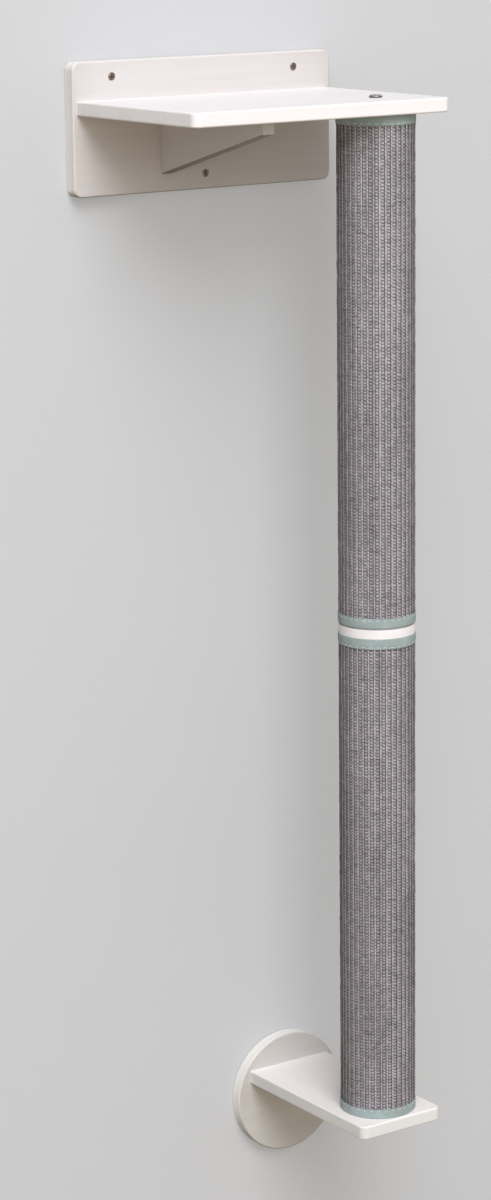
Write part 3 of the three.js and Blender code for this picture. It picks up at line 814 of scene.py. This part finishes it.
def makeBinding(name, node, way, tapeFinish, threadFinish, look=tape):
    # The tape's section is a thin strip with a lip that turns in over the sleeve's end. It
    # bulges a little, and the row of stitches draws it in. way is 1 where the lip is on top.
    low, high = boxOf(node)
    outer = (high[0] - low[0]) / 2
    thick = look["thickness"]
    roll = look["rollOver"] if way > 0 else look["rollUnder"]
    width = high[2] - low[2]
    lip = high[2] if way > 0 else low[2]
    rollTurn = np.radians(np.linspace(0, 90, 5)[:-1])
    endTurn = np.radians(np.linspace(0, 90, 4)[1:])
    down = np.concatenate([
        roll * (1 - np.cos(rollTurn)),
        np.linspace(roll, width - thick / 2, look["rows"]),
        width - thick / 2 * (1 - np.sin(endTurn)),
    ])
    cutIn = np.concatenate([
        roll * (1 - np.sin(rollTurn)),
        np.zeros(look["rows"]),
        thick / 2 * (1 - np.cos(endTurn)),
    ])
    columns = look["stitches"] * look["columnsEach"]
    angle = np.linspace(0, 2 * np.pi, columns, endpoint=False)[None, :]
    beat = np.cos(look["stitches"] * angle)
    seam = width - look["stitchFromEdge"]
    drawn = np.exp(-((down - seam) / look["grooveWidth"]) ** 2)[:, None]
    belly = np.sin(np.pi * down / width)[:, None]
    radii = outer - look["bulge"] - cutIn[:, None] + look["bulge"] * belly
    radii = radii - drawn * (look["groove"] - look["pucker"] * beat)
    radii = radii + look["waver"] * np.sin(look["waves"] * angle + look["wavesFrom"]) * belly
    lipIn = sleeveRadius - weave["thickness"]
    inside = np.array([outer - thick, outer - thick, lipIn, lipIn])[:, None]
    inside = np.broadcast_to(inside, (4, columns))
    depth = np.concatenate([down, [width, thick, thick, 0]])[:, None]
    points = turned(np.concatenate([radii, inside]), lip - way * depth, angle)
    rows = len(depth)
    makePiece(name, points, [gridFaces(rows, columns, loop=True)], tapeFinish, [node],
              uv=gridMap(rows, columns, loop=True), crease=60)

    # each stitch is a short round thread along the tape that dips in at both its ends
    count = look["stitches"]
    rings, sides = look["stitchRings"], look["stitchSides"]
    along = np.linspace(0, 1, rings)[None, :, None]
    around = np.linspace(0, 2 * np.pi, sides, endpoint=False)[None, None, :]
    start = np.arange(count)[:, None, None]
    turn = 2 * np.pi * (start + 0.5 + (along - 0.5) * look["stitchShare"]) / count
    taper = np.sqrt(np.clip(1 - np.abs(2 * along - 1) ** 4, 0, 1))
    lift = outer - look["groove"] + look["threadLift"] * taper
    radius = lift + look["threadRadius"] * taper * np.cos(around)
    height = lip - way * seam + look["threadRadius"] * 1.1 * taper * np.sin(around)
    stitchPoints = turned(radius, height, turn)
    faces = gridFaces(rings, sides)[None] + rings * sides * np.arange(count)[:, None, None]
    makePiece(name + "Stitches", stitchPoints, [faces.reshape(-1, 4)], threadFinish,
              crease=80)


tapeFinish = tapeMaterial("tealTape")
threadFinish = threadMaterial("paleThread")
for section in ("upper", "lower"):
    makeBinding(section + "TopBinding", section + "_top_binding", 1, tapeFinish, threadFinish)
    makeBinding(section + "BottomBinding", section + "_bottom_binding", -1, tapeFinish, threadFinish)
print("bindings made")

ringLook = {
    "round": 0.5 * mm,
    "rebateHeight": 1.6 * mm,
    "rebateDepth": 3.0 * mm,
    "sides": 160,
    "steps": 6,
    "paint": dict(paint, light=(0.94, 0.92, 0.95, 1), shade=(0.91, 0.885, 0.92, 1)),
}


def makeRing(name, node, look=ringLook):
    # A square section with two rounded outer corners and a shadow rebate under the tape
    # above, turned about the post's axis.
    low, high = boxOf(node)
    outer = (high[0] - low[0]) / 2
    step = high[2] - look["rebateHeight"]
    neck = outer - look["rebateDepth"]
    inset, height, worn = edgeProfile(low[2], step, look["round"], look["steps"], (True, True))
    radii = np.concatenate([outer - inset, [neck, neck], [bore["bolt"]] * 2])
    tall = np.concatenate([height, [step, high[2]], [high[2], low[2]]])
    wear = np.concatenate([worn, np.zeros(4)])
    sides = look["sides"]
    angle = np.linspace(0, 2 * np.pi, sides, endpoint=False)[None, :]
    points = turned(radii[:, None], tall[:, None], angle)
    makePiece(name, points, [gridFaces(len(radii), sides, loop=True)],
              boardPaint("ringPaint", "x", grainShift["ring"], look["paint"]), [node],
              values={"worn": np.repeat(wear, sides)}, even=True)


makeRing("postRing", "post_ring")
print("post made")


# screws and bolts
metal = {
    "bronzeSteel": {
        "bright": (0.36, 0.285, 0.235, 1),
        "dark": (0.17, 0.13, 0.105, 1),
        "roughness": (0.36, 0.55),
    },
    "boltSteel": {
        "bright": (0.60, 0.58, 0.53, 1),
        "dark": (0.27, 0.25, 0.22, 1),
        # painted shade for the bolt head's upright side
        "side": (0.12, 0.11, 0.09, 1),
        "roughness": (0.3, 0.46),
    },
    "zincSteel": {
        "bright": (0.72, 0.72, 0.73, 1),
        "dark": (0.45, 0.45, 0.46, 1),
        "roughness": (0.25, 0.5),
    },
}


def metalMaterial(name, look):
    # plated steel: cloudy plating, fine scratches and a duller skin in patches, and on the
    # bolts a darker side than top, which is painted shade on the head's upright side
    material, tree, shader = newMaterial(name, Metallic=0.9)
    place = objectPlaceOf(tree)
    cloudy = noiseAt(tree, place, 380.0, 4.0, 0.6)
    scratch = noiseAt(tree, stretch(tree, place, (1, 9, 1), (0.3, 0.5, 0.7)), 900.0, 2.0)
    colour = blendColour(tree, ease(tree, cloudy, 0.3, 0.7), look["dark"], look["bright"])
    # painted shade: the upright side of a bolt head takes the darker "side" colour
    if "side" in look:
        normal = addNode(tree, "SeparateXYZ", {0: addNode(tree, "NewGeometry").outputs["True Normal"]})
        level = calc(tree, "ABSOLUTE", normal.outputs[2])
        colour = blendColour(tree, ease(tree, level, 0.35, 0.1), colour, look["side"])
    low, high = look["roughness"]
    finishShader(tree, shader, Base_Color=colour, Roughness=ease(tree, cloudy, 0.3, 0.7, high, low),
                 Normal=bumpFrom(tree, scratch, 0.02 * mm, 0.6))
    return material


bronzeFinish, boltFinish, zincFinish = (metalMaterial(name, look) for name, look in metal.items())
screwLook = {
    "sides": 60,
    "head": 4.0 * mm,
    "rim": 0.5 * mm,
    "tip": 4.0 * mm,
    "threadPitch": 2.0 * mm,
    "threadDepth": 0.42 * mm,
    "threadSharpness": 3.2,
    "ringsPerTurn": 7,
    "plainShare": 0.35,
    "wallShank": 2.25 * mm,
    "jointShank": 2.0 * mm,
    "tipShare": 0.12,
    "soft": 0.05 * mm,
    "bevel": 0.12 * mm,
    "crossHalfWidth": 0.55 * mm,
    "crossHalfSpan": 2.2 * mm,
    "crossDepth": 1.4 * mm,
    "crossMouth": 1.06,
    "crossFloor": 0.72,
}


def crossRadius(angle, halfWidth, halfSpan):
    # a plus sign in polar form: the nearer of an arm's end and an arm's side
    fold = np.abs((angle + np.pi / 4) % (np.pi / 2) - np.pi / 4)
    return np.minimum(halfSpan / np.cos(fold), halfWidth / np.maximum(np.sin(fold), 1e-6))


def makeScrew(name, node, finish, look=screwLook):
    # Rings from the tip to the head, then down into a cross recess. Along the thread the
    # radius follows a triangle wave of the depth plus the turn, which winds it as a helix.
    low, high = boxOf(node)
    headAtFront = node.startswith(("plate_wall", "disc_wall"))
    shank = look["wallShank"] if headAtFront else look["jointShank"]
    length = high[1] - low[1]
    angle = np.linspace(0, 2 * np.pi, look["sides"], endpoint=False)[None, :]
    neck = look["rim"] + look["head"] - shank
    count = int((length - neck) / look["threadPitch"] * look["ringsPerTurn"])
    deep = np.linspace(length, neck, count)[:, None]
    core = shank - look["threadDepth"]
    point = np.clip((length - deep) / look["tip"], 0, 1)
    plain = np.clip((neck + (length - neck) * look["plainShare"] - deep) / (1 * mm), 0, 1)
    turns = (deep / look["threadPitch"] + angle / (2 * np.pi)) % 1
    crest = np.clip(1 - look["threadSharpness"] * np.abs(turns - 0.5), 0, 1)
    threaded = core + look["threadDepth"] * crest
    tip = look["tipShare"]
    body = (threaded * (1 - plain) + shank * plain) * (tip + (1 - tip) * point)
    body[0] = 0
    head, rim, soft, bevel = look["head"], look["rim"], look["soft"], look["bevel"]
    rimRadii = np.array([head - soft, head, head, head - bevel])[:, None]
    rimDeep = np.array([rim + soft, rim, bevel, 0])[:, None]
    cross = crossRadius(angle, look["crossHalfWidth"], look["crossHalfSpan"])
    deepest = look["crossDepth"]
    recess = np.concatenate([cross * look["crossMouth"], cross, cross * look["crossFloor"], cross * 0])
    recessDeep = np.array([0, bevel, deepest, deepest * 1.1])[:, None]
    radii = np.concatenate([body, np.broadcast_to(rimRadii, (4, look["sides"])), recess])
    down = np.concatenate([deep, rimDeep, recessDeep])
    middle = (low + high) / 2
    y = low[1] + down if headAtFront else high[1] - down
    x = middle[0] + radii * np.cos(angle)
    z = middle[2] + radii * np.sin(angle)
    points = np.stack(np.broadcast_arrays(x, y, z), -1).reshape(-1, 3)
    makePiece(name, points, [gridFaces(len(radii), look["sides"])], finish, [node], crease=50)


for side in ("left", "right", "low"):
    makeScrew("plateWallScrew" + side.title(), "plate_wall_screw_" + side, bronzeFinish)
for side in ("left", "right"):
    makeScrew("discWallScrew" + side.title(), "disc_wall_screw_" + side, bronzeFinish)
    makeScrew("armScrew" + side.title(), "arm_screw_" + side, zincFinish)
for side in ("left", "middle", "right"):
    makeScrew("shelfScrew" + side.title(), "shelf_screw_" + side, zincFinish)
makeScrew("bracketScrewBack", "bracket_screw_back", zincFinish)

boltLook = {
    "sides": 72,
    "shank": 4.0 * mm,
    "head": 7.0 * mm,
    "headHeight": 3.0 * mm,
    "rim": 1.2 * mm,
    "crown": 4.4 * mm,
    "flats": 5.0 * mm,
    "socket": 1.8 * mm,
    "socketTaper": 0.98,
    "socketCone": 0.4 * mm,
    "soft": 0.15 * mm,
    "chamfer": 1 * mm,
}


def makeBolt(name, node, way, look=boltLook):
    # a plain shank, a low dome that is a quarter ellipse, and a six sided socket in its top
    low, high = boxOf(node)
    angle = np.linspace(0, 2 * np.pi, look["sides"], endpoint=False)[None, :]
    length = high[2] - low[2] - look["headHeight"]
    sweep = np.radians(np.linspace(0, 90, 12))
    shank, head, rim = look["shank"], look["head"], look["rim"]
    dome = look["crown"] + (head - look["crown"]) * np.cos(sweep)
    rise = rim + (look["headHeight"] - rim) * np.sin(sweep)
    soft, chamfer = look["soft"], look["chamfer"]
    radii = np.concatenate([[0, shank - chamfer, shank, shank, head - soft, head], dome])
    tall = np.concatenate([[-length, -length, -length + chamfer, 0, 0, soft], rise])
    fold = (angle + np.pi / 6) % (np.pi / 3) - np.pi / 6
    hexagon = look["flats"] / 2 / np.cos(fold)
    socket = np.concatenate([hexagon + soft, hexagon, hexagon * look["socketTaper"], hexagon * 0])
    socketDeep = np.array([0, soft, look["socket"], look["socket"] + look["socketCone"]])
    socketTall = look["headHeight"] - socketDeep
    allRadii = np.concatenate([np.broadcast_to(radii[:, None], (len(radii), look["sides"])), socket])
    allTall = np.concatenate([tall, socketTall])[:, None]
    seat = high[2] - look["headHeight"] if way > 0 else low[2] + look["headHeight"]
    points = turned(allRadii, seat + way * allTall, angle)
    makePiece(name, points, [gridFaces(len(allRadii), look["sides"])], boltFinish, [node],
              crease=40)


makeBolt("postTopBolt", "post_top_bolt", 1)
makeBolt("postBottomBolt", "post_bottom_bolt", -1)
print("screws and bolts made")


# hidden pieces inside the post and the bracket
inner = {
    "card": {"light": (0.46, 0.32, 0.19, 1), "dark": (0.33, 0.22, 0.13, 1)},
    "wood": {"light": (0.62, 0.45, 0.26, 1), "dark": (0.42, 0.28, 0.15, 1)},
}


def cardMaterial(name, look):
    # wound card: pale fibres and one spiral seam, which is a saw wave of height plus turn
    material, tree, shader = newMaterial(name, Roughness=0.9, Specular_IOR_Level=0.2)
    place = objectPlaceOf(tree)
    centred = stretch(tree, place, (1, 1, 1), shift=(-postX, -postY, 0))
    parts = addNode(tree, "SeparateXYZ", {0: centred})
    turn = calc(tree, "DIVIDE", calc(tree, "ARCTAN2", parts.outputs[1], parts.outputs[0]), 2 * math.pi)
    wound = calc(tree, "FRACT", calc(tree, "MULTIPLY_ADD", parts.outputs[2], 8.0, turn))
    seam = ease(tree, wound, 0.0, 0.03)
    fibre = noiseAt(tree, place, 700.0, 4.0, 0.7)
    colour = blendColour(tree, calc(tree, "MULTIPLY", seam, ease(tree, fibre, 0.3, 0.7, 0.5, 1.0)),
                         look["dark"], look["light"])
    finishShader(tree, shader, Base_Color=colour, Normal=bumpFrom(tree, fibre, 0.1 * mm, 0.6))
    return material


def woodMaterial(name, look, grain):
    # bare softwood: long grain with darker late wood
    material, tree, shader = newMaterial(name, Roughness=0.75, Specular_IOR_Level=0.25)
    place = grainPlace(tree, objectPlaceOf(tree), grain, 14.0)
    years = noiseAt(tree, place, 22.0, 3.0)
    lines = ripple(tree, calc(tree, "MULTIPLY", years, 7.0))
    fine = noiseAt(tree, place, 160.0, 3.0)
    mark = calc(tree, "MULTIPLY_ADD", lines, 0.6, calc(tree, "MULTIPLY", fine, 0.5))
    colour = blendColour(tree, ease(tree, mark, 0.2, 1.0), look["dark"], look["light"])
    finishShader(tree, shader, Base_Color=colour, Normal=bumpFrom(tree, mark, 0.1 * mm, 0.5))
    return material


cardFinish = cardMaterial("woundCard", inner["card"])
plugFinish = woodMaterial("plugWood", inner["wood"], "x")
dowelFinish = woodMaterial("dowelWood", inner["wood"], "z")
innerFinishes = {
    "_tube": cardFinish,
    "_plug": plugFinish,
    "_tee_nut": zincFinish,
    "post_stud": zincFinish,
    "bracket_dowel_back": dowelFinish,
    "bracket_dowel_front": dowelFinish,
}
for nodeName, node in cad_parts.items():
    for ending, finish in innerFinishes.items():
        if nodeName.endswith(ending):
            node.material_slots[0].material = finish
print("hidden pieces finished")
